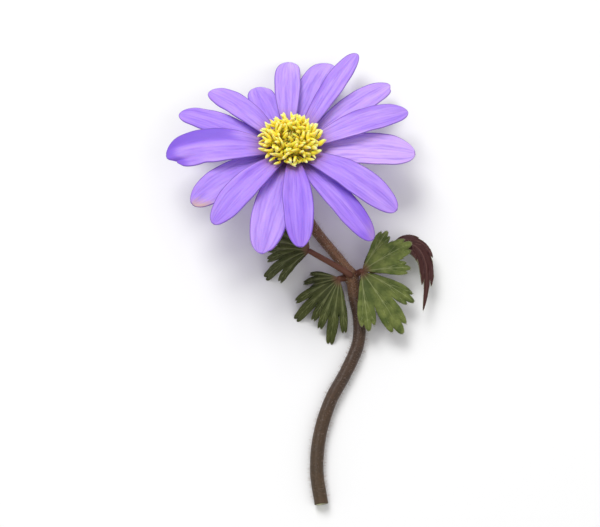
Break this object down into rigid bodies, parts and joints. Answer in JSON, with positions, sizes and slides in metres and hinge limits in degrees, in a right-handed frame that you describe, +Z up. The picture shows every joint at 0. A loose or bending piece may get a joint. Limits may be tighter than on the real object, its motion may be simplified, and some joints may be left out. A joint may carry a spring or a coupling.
{
  "type": "picked anemone flower",
  "caption": "Picked daisy-like windflower with narrow violet petals, yellow stamens, a curved red-brown stem and a whorl of cut green leaves below the bloom.",
  "frame": {"origin": "middle of the flower's footprint, on the surface that it lies on", "axes": "+Z up from the surface, +Y along the flower from the stem's cut end towards the bloom, +X to the side on which the stem bows out"},
  "size_m": [0.054, 0.0932, 0.0191],
  "materials": {
    "petal": "satin",
    "stamen": "matte",
    "carpel": "matte",
    "stem": "satin",
    "leaf": "satin"
  },
  "bodies": {
    "root": {"petal_outer_1": "petal", "petal_outer_2": "petal", "petal_outer_3": "petal", "petal_outer_4": "petal", "petal_outer_5": "petal", "petal_outer_6": "petal", "petal_outer_7": "petal", "petal_outer_8": "petal", "petal_inner_1": "petal", "petal_inner_2": "petal", "petal_inner_3": "petal", "petal_inner_4": "petal", "petal_inner_5": "petal", "petal_inner_6": "petal", "petal_inner_7": "petal", "petal_inner_8": "petal", "stamens": "stamen", "carpel_head": "carpel", "stem": "stem", "leaf_right": "leaf", "leaf_left": "leaf", "leaf_back": "leaf"}
  },
  "joints": []
}
